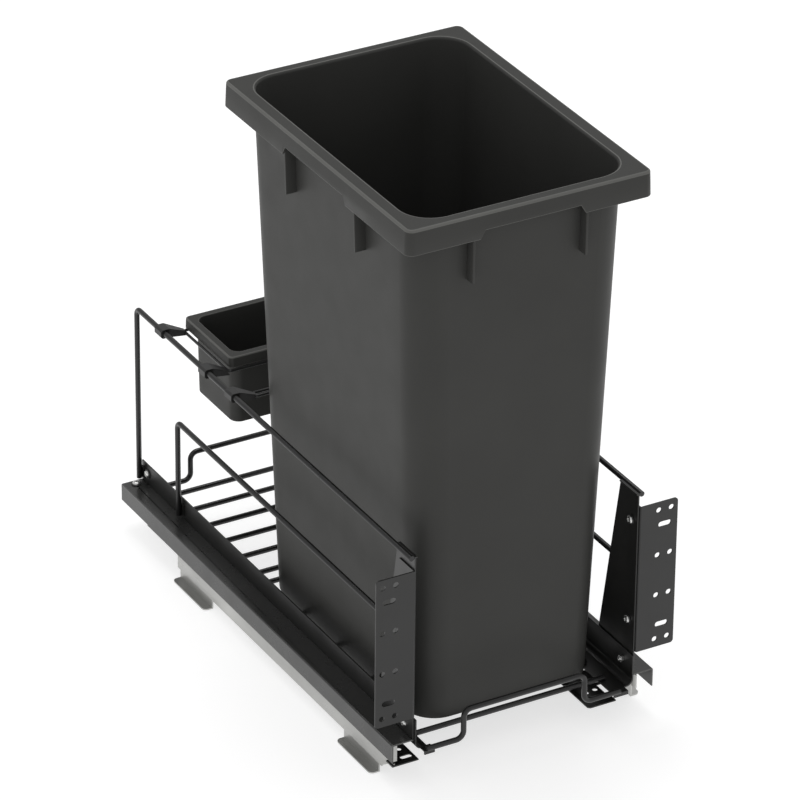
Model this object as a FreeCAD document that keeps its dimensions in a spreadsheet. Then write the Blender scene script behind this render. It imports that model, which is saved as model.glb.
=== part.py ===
import FreeCAD, Part
import math
import os

import Sketcher
from FreeCAD import Vector

# Pull-out waste bin unit for a base cabinet: a tall bin and a small caddy bin in a wire-framed
# drawer that rides on two ball runners, with brackets in front for the cabinet's door.
# Frame: X to the right, Y towards the back of the cabinet, Z up.  Z = 0 is the underside of the
# feet, X = 0 the middle of the unit, and Y = 0 half way between its foremost and rearmost points.

doc = FreeCAD.newDocument("PullOutBin")
sheet = doc.addObject("Spreadsheet::Sheet", "Sizes")

# ---------------------------------------------------------------- driving dimensions
# Lengths along the unit count from the plane of the door's back face.
DIMENSIONS = (
    ("door_plane", -274.725, "plane of the door's back face, from the middle of the unit"),
    ("steel", 1.5, "sheet of the rails, gussets, brackets and fixed channels"),
    ("thin_steel", 1.0, "sheet of the drawer's tracks"),
    ("wire_radius", 2.75, "wire of the frame"),
    ("thin_wire_radius", 1.5, "wire of the caddy ring and the bag bar"),
    # drawer rails
    ("cover_outside", 143.65, "outer face of the rail covers"),
    ("cover_inside", 120.14, "inner edge of the rail covers"),
    ("cover_top", 47.9, "top of the rail covers"),
    ("cover_bottom", 28.0, "lower edge of the covers' skirts"),
    ("cover_front", 2.1, "front end of the rail covers"),
    ("cover_rear", 560.7, "rear end of the rail covers"),
    ("skirt_step", 1.2, "rise of the skirts' lower edge near the rear"),
    ("skirt_step_length", 56.7, "length of the raised stretch"),
    ("rail_top", 70.0, "top edge of the frame rails"),
    ("rail_bottom", 36.9, "underside of the frame rails"),
    ("rail_bend", 8.0, "outer radius of the frame rails' bend"),
    ("left_rail_edge", 107.0, "inner edge of the left frame rail's flange"),
    ("right_rail_edge", 93.5, "inner edge of the right frame rail's flange"),
    ("tongue_reach", 8.0, "how far the tongues reach out in front of the frame rails"),
    ("tongue_lip", 34.3, "lower edge of the tongues' front lips"),
    ("pad_front", 5.0, "front edge of the pads under the side wires' uprights, from the upright"),
    ("pad_rear", 2.5, "rear edge of the same pads"),
    ("pad_height", 12.0, "height of the same pads"),
    ("track_bottom", 29.2, "lower lip of the drawer's tracks"),
    ("track_lip", 138.2, "inner edge of the tracks' lips"),
    ("track_rear", 556.0, "rear end of the tracks"),
    ("left_track_front", 2.1, "front end of the left track"),
    ("right_track_front", 30.0, "front end of the right track"),
    # runners
    ("channel_outside", 141.8, "outer face of the fixed channels"),
    ("channel_inside", 121.3, "inner face of the fixed channels"),
    ("channel_bottom", 11.6, "lower edge of the fixed channels' outer walls"),
    ("channel_floor", 25.4, "underside of the fixed channels' floors"),
    ("channel_top", 45.2, "top of the fixed channels' inner walls"),
    ("channel_rear", 441.3, "rear end of the fixed channels"),
    ("channel_throat", 36.0, "front end of the fixed channels' floors"),
    ("nose_start", 13.5, "from the left channel's front end to its lower edge's climb"),
    ("nose_end", 23.0, "from the left channel's front end to the climb's rear end"),
    ("nose_top", 7.8, "height of the climb's front end above the lower edge"),
    ("nose_low", 1.3, "height of the climb's rear end above the lower edge"),
    ("left_channel_front", 2.1, "front end of the left fixed channel"),
    ("right_channel_front", 27.5, "front end of the right fixed channel"),
    ("middle_outside", 136.4, "outer face of the middle members"),
    ("middle_inside", 127.2, "inner face of the middle members"),
    ("middle_bottom", 28.2, "lower edge of the middle members"),
    ("middle_top", 45.8, "top of the middle members"),
    ("middle_front", 38.0, "front end of the middle members"),
    ("middle_rear", 440.0, "rear end of the middle members"),
    ("cage_sheet", 0.8, "sheet of the ball cages"),
    ("cage_bottom", 31.2, "lower edge of the ball cages"),
    ("cage_top", 44.2, "top edge of the ball cages"),
    ("ball_radius", 1.8, "balls of the runners"),
    ("lower_cage_front", 150.0, "front end of the lower ball cages"),
    ("lower_cage_length", 150.0, "length of the lower ball cages"),
    ("upper_cage_front", 165.0, "front end of the upper ball cages"),
    ("upper_cage_length", 240.0, "length of the upper ball cages"),
    # feet and front plates
    ("foot_reach", 149.5, "outer edge of the feet"),
    ("foot_height", 22.0, "top of the feet's webs"),
    ("foot_length", 67.5, "length of a foot"),
    ("foot_corner", 5.0, "rounding of the feet's outer corners"),
    ("front_foot_start", 33.4, "front end of the front feet"),
    ("rear_foot_start", 371.0, "front end of the rear feet"),
    ("plate_front", 0.9, "front edge of the front plates"),
    ("plate_rear", 62.0, "rear edge of the front plates"),
    ("left_plate_edge", 115.0, "inner edge of the left front plate"),
    ("right_plate_edge", 71.0, "inner edge of the right front plate"),
    ("plate_tongue", 31.0, "width of the right front plate's tongue"),
    ("plate_step", 13.0, "length of the left front plate's wide stretch"),
    ("plate_notch", 11.0, "depth of the notch beside the right front plate's tongue"),
    ("plate_shoulder", 32.5, "front end of the right front plate's wide stretch"),
    ("plate_chamfer", 2.5, "chamfers of the right front plate"),
    ("plate_hole_radius", 2.6, "screw holes and slots of the front plates"),
    ("plate_slot_length", 12.0, "slots of the front plates, end to end"),
    # door brackets and gussets
    ("bracket_outside", 163.4, "outer edge of the door brackets"),
    ("bracket_bottom", 73.2, "lower edge of the door brackets"),
    ("bracket_top", 233.2, "top edge of the door brackets"),
    ("bracket_leg", 28.7, "depth of the brackets' legs"),
    ("bracket_corner", 3.5, "rounding of the brackets' outer corners"),
    ("bracket_hole_radius", 2.9, "door screw holes"),
    ("bracket_slot_length", 14.0, "door slots, end to end"),
    ("inner_column", 142.4, "inner column of door screw holes"),
    ("outer_column", 156.3, "outer column of door screw holes"),
    ("gusset_front", 2.0, "front edge of the gussets"),
    ("gusset_top", 247.2, "top of the gussets"),
    ("gusset_foot", 49.0, "lower edge of the gussets"),
    ("gusset_top_rear", 34.0, "rear edge of the gussets at the top"),
    ("gusset_foot_rear", 69.2, "rear edge of the gussets at the foot"),
    # wire frame
    ("side_wire_across", 124.42, "side wires, from the middle of the unit"),
    ("side_wire_bend", 7.0, "bend of the side wires"),
    ("side_wire_foot", 51.5, "lower ends of the side wires' uprights"),
    ("upper_wire_height", 246.0, "upper side wires"),
    ("upper_wire_front", 2.5, "front ends of the upper side wires"),
    ("upper_wire_rear", 557.9, "uprights of the upper side wires"),
    ("lower_wire_height", 158.4, "lower side wires"),
    ("lower_wire_front", 42.0, "front ends of the lower side wires"),
    ("lower_wire_rear", 472.0, "uprights of the lower side wires"),
    ("left_wire_end", 112.5, "left ends of the cross wires"),
    ("right_wire_end", 100.0, "right ends of the cross wires"),
    ("stop_bend", 8.0, "bends of the stop wires"),
    ("front_stop_at", -8.5, "front stop wire"),
    ("rear_stop_at", 545.7, "rear stop wire"),
    ("stop_inset", 40.0, "from the ends of the stop wires to their uprights"),
    ("stop_height", 72.0, "raised stretch of the stop wires"),
    ("front_cross_wire", 20.0, "foremost cross wire"),
    ("bin_cross_wire", 54.5, "first cross wire under the bin"),
    ("bin_cross_pitch", 68.7, "spacing of the cross wires under the bin"),
    ("rear_cross_wire", 525.3, "rearmost cross wire"),
    ("rear_cross_pitch", 35.1, "spacing of the cross wires behind the bin"),
    # large bin
    ("bin_top", 583.4, "top of the large bin"),
    ("bin_bottom", 44.2, "underside of the large bin"),
    ("bin_wall", 2.4, "wall of the large bin"),
    ("bin_foot_bevel", 1.2, "bevel of the large bin's lower edges"),
    ("rim_half_width", 128.5, "half width of the rim at the top"),
    ("rim_front", 8.2, "front of the rim at the top"),
    ("rim_rear", 361.9, "rear of the rim at the top"),
    ("rim_height", 25.6, "height of the rim"),
    ("rim_flare", 0.9, "how far the rim leans out at its lower edge"),
    ("rim_corner", 7.5, "corner radius of the rim"),
    ("rim_rounding", 2.4, "rounding of the rim's upper edge"),
    ("mouth_half_width", 115.0, "half width of the body at the top"),
    ("mouth_front", 19.4, "front of the body at the top"),
    ("mouth_rear", 351.6, "rear of the body at the top"),
    ("mouth_corner", 33.0, "corner radius of the body at the top"),
    ("foot_shift", -2.5, "middle of the body at the bottom, from the middle of the unit"),
    ("foot_half_width", 97.0, "half width of the body at the bottom"),
    ("foot_front", 25.3, "front of the body at the bottom"),
    ("foot_rear", 330.0, "rear of the body at the bottom"),
    ("foot_body_corner", 32.0, "corner radius of the body at the bottom"),
    ("grip_rise", 8.5, "how much shallower the rim is over the hand grips"),
    ("front_grip_left", -54.0, "left end of the front grip"),
    ("front_grip_right", 57.0, "right end of the front grip"),
    ("side_grip_front", 124.0, "front end of the side grips"),
    ("side_grip_rear", 244.0, "rear end of the side grips"),
    ("fin_foot", 513.0, "lower end of the fins under the rim"),
    ("fin_depth", 11.0, "how far the front and side fins stand out"),
    ("rear_fin_depth", 9.0, "how far the rear fins stand out"),
    ("fin_thickness", 2.6, "thickness of the fins"),
    ("front_fin_offset", 59.5, "front and rear fins, from the middle"),
    ("side_fin_front", 115.0, "foremost side fins"),
    ("side_fin_rear", 247.0, "rearmost side fins"),
    # caddy bin, its ring, the bag bar and the clips
    ("caddy_top", 256.8, "top of the caddy bin"),
    ("caddy_bottom", 177.0, "underside of the caddy bin"),
    ("caddy_wall", 2.0, "wall of the caddy bin"),
    ("caddy_half_width", 100.5, "half width of the caddy's rim"),
    ("caddy_front", 404.0, "front of the caddy's rim"),
    ("caddy_rear", 501.8, "rear of the caddy's rim"),
    ("caddy_rim_height", 11.4, "height of the caddy's rim"),
    ("caddy_rim_corner", 5.0, "corner radius of the caddy's rim"),
    ("caddy_rim_flare", 0.3, "how far the caddy's rim leans out at its lower edge"),
    ("caddy_rim_rounding", 1.5, "rounding of the upper edge of the caddy's rim"),
    ("caddy_ledge", 6.5, "from the rim's outside to the caddy's body"),
    ("caddy_corner", 12.0, "corner radius of the caddy's body"),
    ("caddy_taper", 1.6, "how much the caddy's body narrows on each side"),
    ("caddy_foot_bevel", 1.5, "bevel of the caddy's lower edges"),
    ("ring_height", 243.0, "caddy ring and bag bar"),
    ("ring_half_width", 103.0, "half width of the caddy ring and the bag bar"),
    ("ring_front", 403.5, "front of the caddy ring"),
    ("ring_rear", 498.5, "rear of the caddy ring"),
    ("bar_front", 347.3, "front of the bag bar"),
    ("bar_rear", 354.3, "rear of the bag bar"),
    ("ring_bend", 3.2, "bends of the caddy ring and the bag bar"),
    ("rear_clip_at", 503.5, "rear clips"),
    ("front_clip_at", 411.0, "front clips"),
    ("bar_clip_at", 356.0, "clips of the bag bar"),
    ("clip_outside", 4.6, "from the side wire to the clips' outer face"),
    ("clip_crown", 4.4, "top of the clips above the side wire"),
    ("clip_sole", 5.2, "underside of the clips below the side wire"),
    ("clip_collar", 5.0, "from the side wire to the inner end of the clips' collars"),
    ("clip_tip", 2.6, "half the thickness of the clips' tips"),
    ("clip_offset", 8.0, "how far the clips' tips stand in front of their collars"),
    ("clip_half_length", 7.0, "half the clips' length along the side wires"),
    # fasteners
    ("shank_radius", 2.0, "shanks of the screws and bolts"),
    ("hole_radius", 2.2, "their clearance holes"),
    ("head_radius", 4.0, "heads of the screws and bolts"),
    ("head_height", 2.4, "height of the heads"),
    ("washer_radius", 5.2, "washers"),
    ("washer_height", 1.0, "thickness of the washers"),
    ("nut_width", 7.0, "nuts, across the flats"),
    ("nut_height", 3.0, "height of the nuts"),
    ("frame_bolt_along", 18.5, "frame bolts, along the unit"),
    ("frame_bolt_height", 58.0, "frame bolts"),
    ("bracket_bolt_along", 13.3, "bracket bolts, along the unit"),
    ("rear_bolt_along", 547.0, "rear bolts through the frame rails"),
    ("rear_bolt_height", 60.0, "rear bolts through the frame rails"),
    ("cover_screw_across", 130.6, "screws in the rail covers"),
    ("cover_screw_along", 552.6, "screws in the rail covers"),
)


class Size:
    """A length taken from the sheet: its present value and the expression that binds it."""

    def __init__(self, value, text):
        self.value = value
        self.text = text

    def combined(self, other, sign, value):
        return Size(value, f"({self.text} {sign} {as_size(other).text})")

    def __add__(self, other):
        return self.combined(other, "+", self.value + as_size(other).value)

    def __sub__(self, other):
        return self.combined(other, "-", self.value - as_size(other).value)

    def __mul__(self, other):
        return self.combined(other, "*", self.value * as_size(other).value)

    def __truediv__(self, other):
        return self.combined(other, "/", self.value / as_size(other).value)

    def __neg__(self):
        return self * -1


def as_size(length):
    return length if isinstance(length, Size) else Size(length, f"({length})")


def size(alias):
    return Size(VALUES[alias], f"Sizes.{alias}")


VALUES = {}
for row, (alias, number, meaning) in enumerate(DIMENSIONS, start=1):
    sheet.set(f"A{row}", meaning)
    sheet.set(f"B{row}", str(number))
    sheet.setAlias(f"B{row}", alias)
    VALUES[alias] = number
doc.recompute()

STEEL = size("steel")
SIDES = (("left", -1), ("right", 1))
THROUGH = 12.0
DOOR_HOLE_HEIGHTS = (224.6, 175.4, 131.2, 82.2)
DOOR_SLOT_HEIGHTS = (208.5, 97.9)
BRACKET_BOLT_HEIGHTS = (214.4, 104.5)
PLATE_SLOT = {"left": (8.6, 10.2), "right": (11.2, 10.2)}
PLATE_HOLES = {"left": ((8.4, 24.4),), "right": ((23.0, 10.2), (12.4, 25.0), (23.0, 26.2))}
TONGUE_SPAN = {"left": (103.0, 114.0), "right": (94.0, 110.0)}
BALLS_IN_ROW = 5
BALL_ROWS = (34.2, 41.2)
nodes = []


# ---------------------------------------------------------------- document helpers
def bind(item, prop, length):
    item.setExpression(prop, as_size(length).text)


def place(item, across, along, up):
    """Puts a sub-part in the unit; along counts from the door's back face."""
    bind(item, "Placement.Base.x", across)
    bind(item, "Placement.Base.y", size("door_plane") + along)
    bind(item, "Placement.Base.z", up)
    nodes.append(item)


def new_body(label, across=0.0, along=0.0, up=0.0):
    body = doc.addObject("PartDesign::Body", label)
    body.Label = label
    place(body, across, along, up)
    return body


def new_sketch(body, name, role, lift=0.0):
    """A sketch on one of the body's origin planes, lifted along the plane's normal."""
    sketch = body.newObject("Sketcher::SketchObject", f"{body.Label}_{name}")
    plane = next(item for item in body.Origin.OriginFeatures if item.Role == role)
    sketch.AttachmentSupport = (plane, "")
    sketch.MapMode = "FlatFace"
    bind(sketch, "AttachmentOffset.Base.z", lift)
    return sketch


def dimension(sketch, constraint, length):
    number = sketch.addConstraint(constraint)
    sketch.setExpression(f"Constraints[{number}]", length.text)


def fix_distance(sketch, kind, geometry, end, length):
    """Ties a point to the origin along one axis; kind is DistanceX or DistanceY."""
    length = as_size(length)
    dimension(sketch, Sketcher.Constraint(kind, -1, 1, geometry, end, length.value), length)


def fix_point(sketch, geometry, end, across, up):
    fix_distance(sketch, "DistanceX", geometry, end, across)
    fix_distance(sketch, "DistanceY", geometry, end, up)


def fix_radius(sketch, geometry, radius):
    dimension(sketch, Sketcher.Constraint("Radius", geometry, radius.value), radius)


def as_vector(across, up):
    return Vector(as_size(across).value, as_size(up).value, 0)


def outline(sketch, corners):
    """A closed outline of straight sides through the corners."""
    points = [as_vector(across, up) for across, up in corners]
    sides = []
    for start, end in zip(points, points[1:] + points[:1]):
        sides.append(sketch.addGeometry(Part.LineSegment(start, end), False))
    for side, following in zip(sides, sides[1:] + sides[:1]):
        sketch.addConstraint(Sketcher.Constraint("Coincident", side, 2, following, 1))
    for side, (across, up) in zip(sides, corners):
        fix_point(sketch, side, 1, across, up)


def rectangle(sketch, left, bottom, right, top):
    outline(sketch, ((left, bottom), (right, bottom), (right, top), (left, top)))


def circle(sketch, across, up, radius):
    ring = Part.Circle(as_vector(across, up), Vector(0, 0, 1), radius.value)
    number = sketch.addGeometry(ring, False)
    fix_point(sketch, number, 3, across, up)
    fix_radius(sketch, number, radius)


def add_arc(sketch, centre, radius, start, turn):
    """An arc about centre from the start angle, turning anticlockwise; angles in degrees."""
    ring = Part.Circle(as_vector(*centre), Vector(0, 0, 1), radius.value)
    arc = Part.ArcOfCircle(ring, math.radians(start), math.radians(start + turn))
    return sketch.addGeometry(arc, False)


def join_arcs(sketch, arcs):
    """Closes a ring of arcs with a tangent side from each arc to the next."""
    for arc, following in zip(arcs, arcs[1:] + arcs[:1]):
        line = Part.LineSegment(sketch.getPoint(arc, 2), sketch.getPoint(following, 1))
        side = sketch.addGeometry(line, False)
        sketch.addConstraint(Sketcher.Constraint("Tangent", arc, 2, side, 1))
        sketch.addConstraint(Sketcher.Constraint("Tangent", side, 2, following, 1))


def slot(sketch, across, up, length, radius):
    """A slot along the sketch's first axis, length from end to end."""
    across = as_size(across)
    reach = length * 0.5 - radius
    ends = ((across + reach, -90), (across - reach, 90))
    arcs = [add_arc(sketch, (middle, up), radius, start, 180) for middle, start in ends]
    join_arcs(sketch, arcs)
    for arc, (middle, start) in zip(arcs, ends):
        fix_point(sketch, arc, 3, middle, up)
    fix_radius(sketch, arcs[0], radius)


def rounded_rectangle(sketch, half_width, front, rear, radius, middle=0.0):
    """A rectangle with an arc at each corner; middle is its distance from the sketch's upright axis."""
    right = half_width - radius + middle
    left = -half_width + radius + middle
    corners = ((right, front + radius, -90), (right, rear - radius, 0),
               (left, rear - radius, 90), (left, front + radius, 180))
    arcs = [add_arc(sketch, (across, up), radius, start, 90) for across, up, start in corners]
    join_arcs(sketch, arcs)
    for arc, (across, up, start) in zip(arcs, corners):
        fix_point(sketch, arc, 3, across, up)
    fix_radius(sketch, arcs[0], radius)
    for arc in arcs[1:]:
        sketch.addConstraint(Sketcher.Constraint("Equal", arcs[0], arc))


def square_path(sketch, corners, radius):
    """An open path of runs along the sketch's axes in turn, joined by tangent arcs."""
    points = [as_vector(across, up) for across, up in corners]
    starts = [points[0]]
    ends = []
    for before, corner, after in zip(points, points[1:], points[2:]):
        ends.append(corner + (before - corner).normalize() * radius.value)
        starts.append(corner + (after - corner).normalize() * radius.value)
    ends.append(points[-1])
    runs = []
    for number, (start, end) in enumerate(zip(starts, ends)):
        run = sketch.addGeometry(Part.LineSegment(start, end), False)
        upright = abs(end.x - start.x) < abs(end.y - start.y)
        across, up = corners[number]
        sketch.addConstraint(Sketcher.Constraint("Vertical" if upright else "Horizontal", run))
        if upright:
            fix_distance(sketch, "DistanceX", run, 1, across)
        else:
            fix_distance(sketch, "DistanceY", run, 1, up)
        runs.append((run, upright))
    for number, corner in enumerate(points[1:-1]):
        first, last = ends[number], starts[number + 1]
        centre = first + last - corner
        middle = centre + (corner - centre).normalize() * radius.value
        bend = sketch.addGeometry(Part.Arc(first, middle, last), False)
        starts_at_first = (sketch.getPoint(bend, 1) - first).Length < radius.value * 0.5
        entry, leave = (1, 2) if starts_at_first else (2, 1)
        sketch.addConstraint(Sketcher.Constraint("Tangent", runs[number][0], 2, bend, entry))
        sketch.addConstraint(Sketcher.Constraint("Tangent", bend, leave, runs[number + 1][0], 1))
        fix_radius(sketch, bend, radius)
    for (run, upright), end, (across, up) in ((runs[0], 1, corners[0]), (runs[-1], 2, corners[-1])):
        if upright:
            fix_distance(sketch, "DistanceY", run, end, up)
        else:
            fix_distance(sketch, "DistanceX", run, end, across)


def pad(body, sketch, length, name="pad", backwards=False, both_ways=False):
    feature = body.newObject("PartDesign::Pad", f"{body.Label}_{name}")
    feature.Profile = sketch
    bind(feature, "Length", length)
    feature.Reversed = backwards
    feature.SideType = "Symmetric" if both_ways else "One side"


def pocket(body, sketch, length, name="cut", backwards=False, both_ways=False):
    """Cuts the sketch out of the body and makes sure that the body lost volume."""
    doc.recompute()
    before = body.Shape.Volume
    feature = body.newObject("PartDesign::Pocket", f"{body.Label}_{name}")
    feature.Profile = sketch
    bind(feature, "Length", length)
    feature.Reversed = backwards
    feature.SideType = "Symmetric" if both_ways else "One side"
    doc.recompute()
    if body.Shape.Volume > before - 0.01:
        raise RuntimeError(f"{feature.Label} cuts nothing")


def fillet(body, name, radius, chosen):
    """Rounds the edges of the body's present shape that the test chooses."""
    doc.recompute()
    base = body.Tip
    edges = [f"Edge{number}" for number, edge in enumerate(base.Shape.Edges, start=1) if chosen(edge)]
    feature = body.newObject("PartDesign::Fillet", f"{body.Label}_{name}")
    feature.Base = (base, edges)
    bind(feature, "Radius", radius)


def near(one, other):
    return abs(one - as_size(other).value) < 0.01


def runs_along(edge, axis):
    """Whether a straight edge runs along the axis: 0, 1 or 2."""
    if len(edge.Vertexes) != 2:
        return False
    step = edge.Vertexes[1].Point - edge.Vertexes[0].Point
    return abs(step[axis]) > 0.999 * edge.Length


def sweep(body, path, section):
    doc.recompute()
    feature = body.newObject("PartDesign::AdditivePipe", f"{body.Label}_sweep")
    feature.Profile = section
    feature.Spine = (path, [f"Edge{number + 1}" for number in range(len(path.Shape.Edges))])


def group(label, solids):
    """A node of separate solids whose sizes are read from the sheet."""
    feature = doc.addObject("Part::Feature", label)
    feature.Label = label
    feature.Shape = Part.makeCompound(solids)
    place(feature, 0.0, 0.0, 0.0)


# ---------------------------------------------------------------- runners
def fixed_channel(side, sign):
    """The runner's cabinet member: floor, inner wall, and an outer wall that hangs below the floor."""
    body = new_body(f"{side}_fixed_channel")
    inside, outside = size("channel_inside"), size("channel_outside")
    floor, top, bottom = size("channel_floor"), size("channel_top"), size("channel_bottom")
    front = size(f"{side}_channel_front")
    corners = ((inside, floor), (outside - STEEL, floor), (outside - STEEL, bottom), (outside, bottom),
               (outside, floor + STEEL), (inside + STEEL, floor + STEEL), (inside + STEEL, top),
               (inside, top))
    profile = new_sketch(body, "profile", "XZ_Plane", -front)
    outline(profile, [(across * sign, up) for across, up in corners])
    pad(body, profile, size("channel_rear") - front, backwards=True)
    # in front only the outer wall remains, clear of the front plate's holes
    throat = new_sketch(body, "throat", "XY_Plane", floor)
    rectangle(throat, (inside - 1.0) * sign, front - 1.0, (outside - STEEL) * sign, size("channel_throat"))
    pocket(body, throat, top, "throat_cut", both_ways=True)
    if side == "left":
        # the wall's lower edge climbs to the front plate
        nose = new_sketch(body, "nose", "YZ_Plane", outside * sign)
        start, end = front + size("nose_start"), front + size("nose_end")
        outline(nose, ((front - 1.0, floor), (start, floor), (start, bottom + size("nose_top")),
                       (end, bottom + size("nose_low")), (end, bottom - 1.0), (front - 1.0, bottom - 1.0)))
        pocket(body, nose, THROUGH, "nose_cut", both_ways=True)


def middle_member(side, sign):
    """The runner's telescoping member, a channel open below."""
    body = new_body(f"{side}_middle_member")
    inside, outside = size("middle_inside"), size("middle_outside")
    bottom, top = size("middle_bottom"), size("middle_top")
    corners = ((inside, bottom), (inside, top), (outside, top), (outside, bottom), (outside - STEEL, bottom),
               (outside - STEEL, top - STEEL), (inside + STEEL, top - STEEL), (inside + STEEL, bottom))
    profile = new_sketch(body, "profile", "XZ_Plane", -size("middle_front"))
    outline(profile, [(across * sign, up) for across, up in corners])
    pad(body, profile, size("middle_rear") - size("middle_front"), backwards=True)


def ball_cage(side, sign, level, inner_face, outer_face):
    """A strip with two rows of holes, and the balls that roll in them."""
    across = (inner_face + outer_face) * (0.5 * sign)
    front = size(f"{level}_cage_front")
    length = size(f"{level}_cage_length")
    body = new_body(f"{side}_{level}_cage", across=across, along=front)
    strip = new_sketch(body, "strip", "YZ_Plane")
    rectangle(strip, 0.0, size("cage_bottom"), length, size("cage_top"))
    pad(body, strip, size("cage_sheet"), both_ways=True)
    holes = new_sketch(body, "holes", "YZ_Plane")
    balls = []
    for number in range(BALLS_IN_ROW):
        along = length * ((number + 0.5) / BALLS_IN_ROW)
        for up in BALL_ROWS:
            circle(holes, along, up, size("ball_radius") + 0.2)
            centre = Vector(across.value, (front + along).value, up)
            balls.append(Part.makeSphere(VALUES["ball_radius"], centre))
    pocket(body, holes, THROUGH, both_ways=True)
    group(f"{side}_{level}_balls", balls)


def foot(side, sign, end):
    """An angle that carries the fixed channel on the cabinet's floor."""
    body = new_body(f"{side}_{end}_foot", along=size(f"{end}_foot_start"))
    outer = size("channel_outside") - STEEL
    reach = size("foot_reach")
    corners = ((outer - STEEL, 0.0), (reach, 0.0), (reach, STEEL), (outer, STEEL),
               (outer, size("foot_height")), (outer - STEEL, size("foot_height")))
    profile = new_sketch(body, "profile", "XZ_Plane")
    outline(profile, [(across * sign, up) for across, up in corners])
    pad(body, profile, size("foot_length"), backwards=True)
    fillet(body, "corners", size("foot_corner"),
           lambda edge: runs_along(edge, 2) and near(edge.BoundBox.Center.x, reach * sign))


def front_plate(side, sign):
    """The plate under the runner's front end that is screwed to the cabinet's floor or frame."""
    body = new_body(f"{side}_front_plate", up=size("channel_floor") - STEEL)
    edge = size(f"{side}_plate_edge")
    front, rear = size("plate_front"), size("plate_rear")
    inner = size("channel_outside") - STEEL * 2
    if side == "left":
        outer = size("cover_outside")
        step = front + size("plate_step")
        corners = ((edge, front), (outer, front), (outer, step), (inner, step), (inner, rear), (edge, rear))
    else:
        tongue = edge + size("plate_tongue")
        chamfer = size("plate_chamfer")
        notch, shoulder = front + size("plate_notch"), front + size("plate_shoulder")
        corners = ((edge, front + chamfer), (edge + chamfer, front), (tongue, front),
                   (tongue, notch - chamfer), (tongue - chamfer, notch), (tongue - chamfer, shoulder),
                   (inner, shoulder), (inner, rear), (edge, rear))
    shape = new_sketch(body, "shape", "XY_Plane")
    outline(shape, [(across * sign, along) for across, along in corners])
    pad(body, shape, STEEL)
    holes = new_sketch(body, "holes", "XY_Plane")
    across, along = PLATE_SLOT[side]
    slot(holes, (edge + across) * sign, front + along, size("plate_slot_length"), size("plate_hole_radius"))
    for across, along in PLATE_HOLES[side]:
        circle(holes, (edge + across) * sign, front + along, size("plate_hole_radius"))
    pocket(body, holes, THROUGH, both_ways=True)


# ---------------------------------------------------------------- drawer rails
def rail_cover(side, sign):
    """The painted cover over the runner: a top and an outer skirt."""
    body = new_body(f"{side}_rail_cover")
    inside, outside = size("cover_inside"), size("cover_outside")
    top, bottom = size("cover_top"), size("cover_bottom")
    front, rear = size("cover_front"), size("cover_rear")
    corners = ((inside, top), (inside, top - STEEL), (outside - STEEL, top - STEEL),
               (outside - STEEL, bottom), (outside, bottom), (outside, top))
    profile = new_sketch(body, "profile", "XZ_Plane", -front)
    outline(profile, [(across * sign, up) for across, up in corners])
    pad(body, profile, rear - front, backwards=True)
    step = new_sketch(body, "step", "YZ_Plane", outside * sign)
    rectangle(step, rear - size("skirt_step_length"), bottom - 1.0, rear + 1.0, bottom + size("skirt_step"))
    pocket(body, step, THROUGH, "step_cut", both_ways=True)
    fillet(body, "bend", STEEL * 0.95,
           lambda edge: near(edge.BoundBox.Center.x, outside * sign) and near(edge.BoundBox.ZMin, top))
    screw_hole = new_sketch(body, "screw_hole", "XY_Plane", top)
    circle(screw_hole, size("cover_screw_across") * sign, size("cover_screw_along"), size("hole_radius"))
    pocket(body, screw_hole, THROUGH, "screw_hole_cut", both_ways=True)


def track(side, sign):
    """The drawer's track inside the cover, a channel that faces the middle of the unit."""
    body = new_body(f"{side}_track")
    outside = size("cover_outside") - STEEL
    inside = size("track_lip")
    top, bottom = size("cover_top") - STEEL, size("track_bottom")
    sheet_metal = size("thin_steel")
    front = size(f"{side}_track_front")
    corners = ((inside, bottom), (outside, bottom), (outside, top), (inside, top),
               (inside, top - sheet_metal), (outside - sheet_metal, top - sheet_metal),
               (outside - sheet_metal, bottom + sheet_metal), (inside, bottom + sheet_metal))
    profile = new_sketch(body, "profile", "XZ_Plane", -front)
    outline(profile, [(across * sign, up) for across, up in corners])
    pad(body, profile, size("track_rear") - front, backwards=True)
    end = new_sketch(body, "end", "XZ_Plane", -front)
    rectangle(end, inside * sign, bottom, outside * sign, top)
    pad(body, end, sheet_metal, "end_pad", backwards=True)


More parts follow.
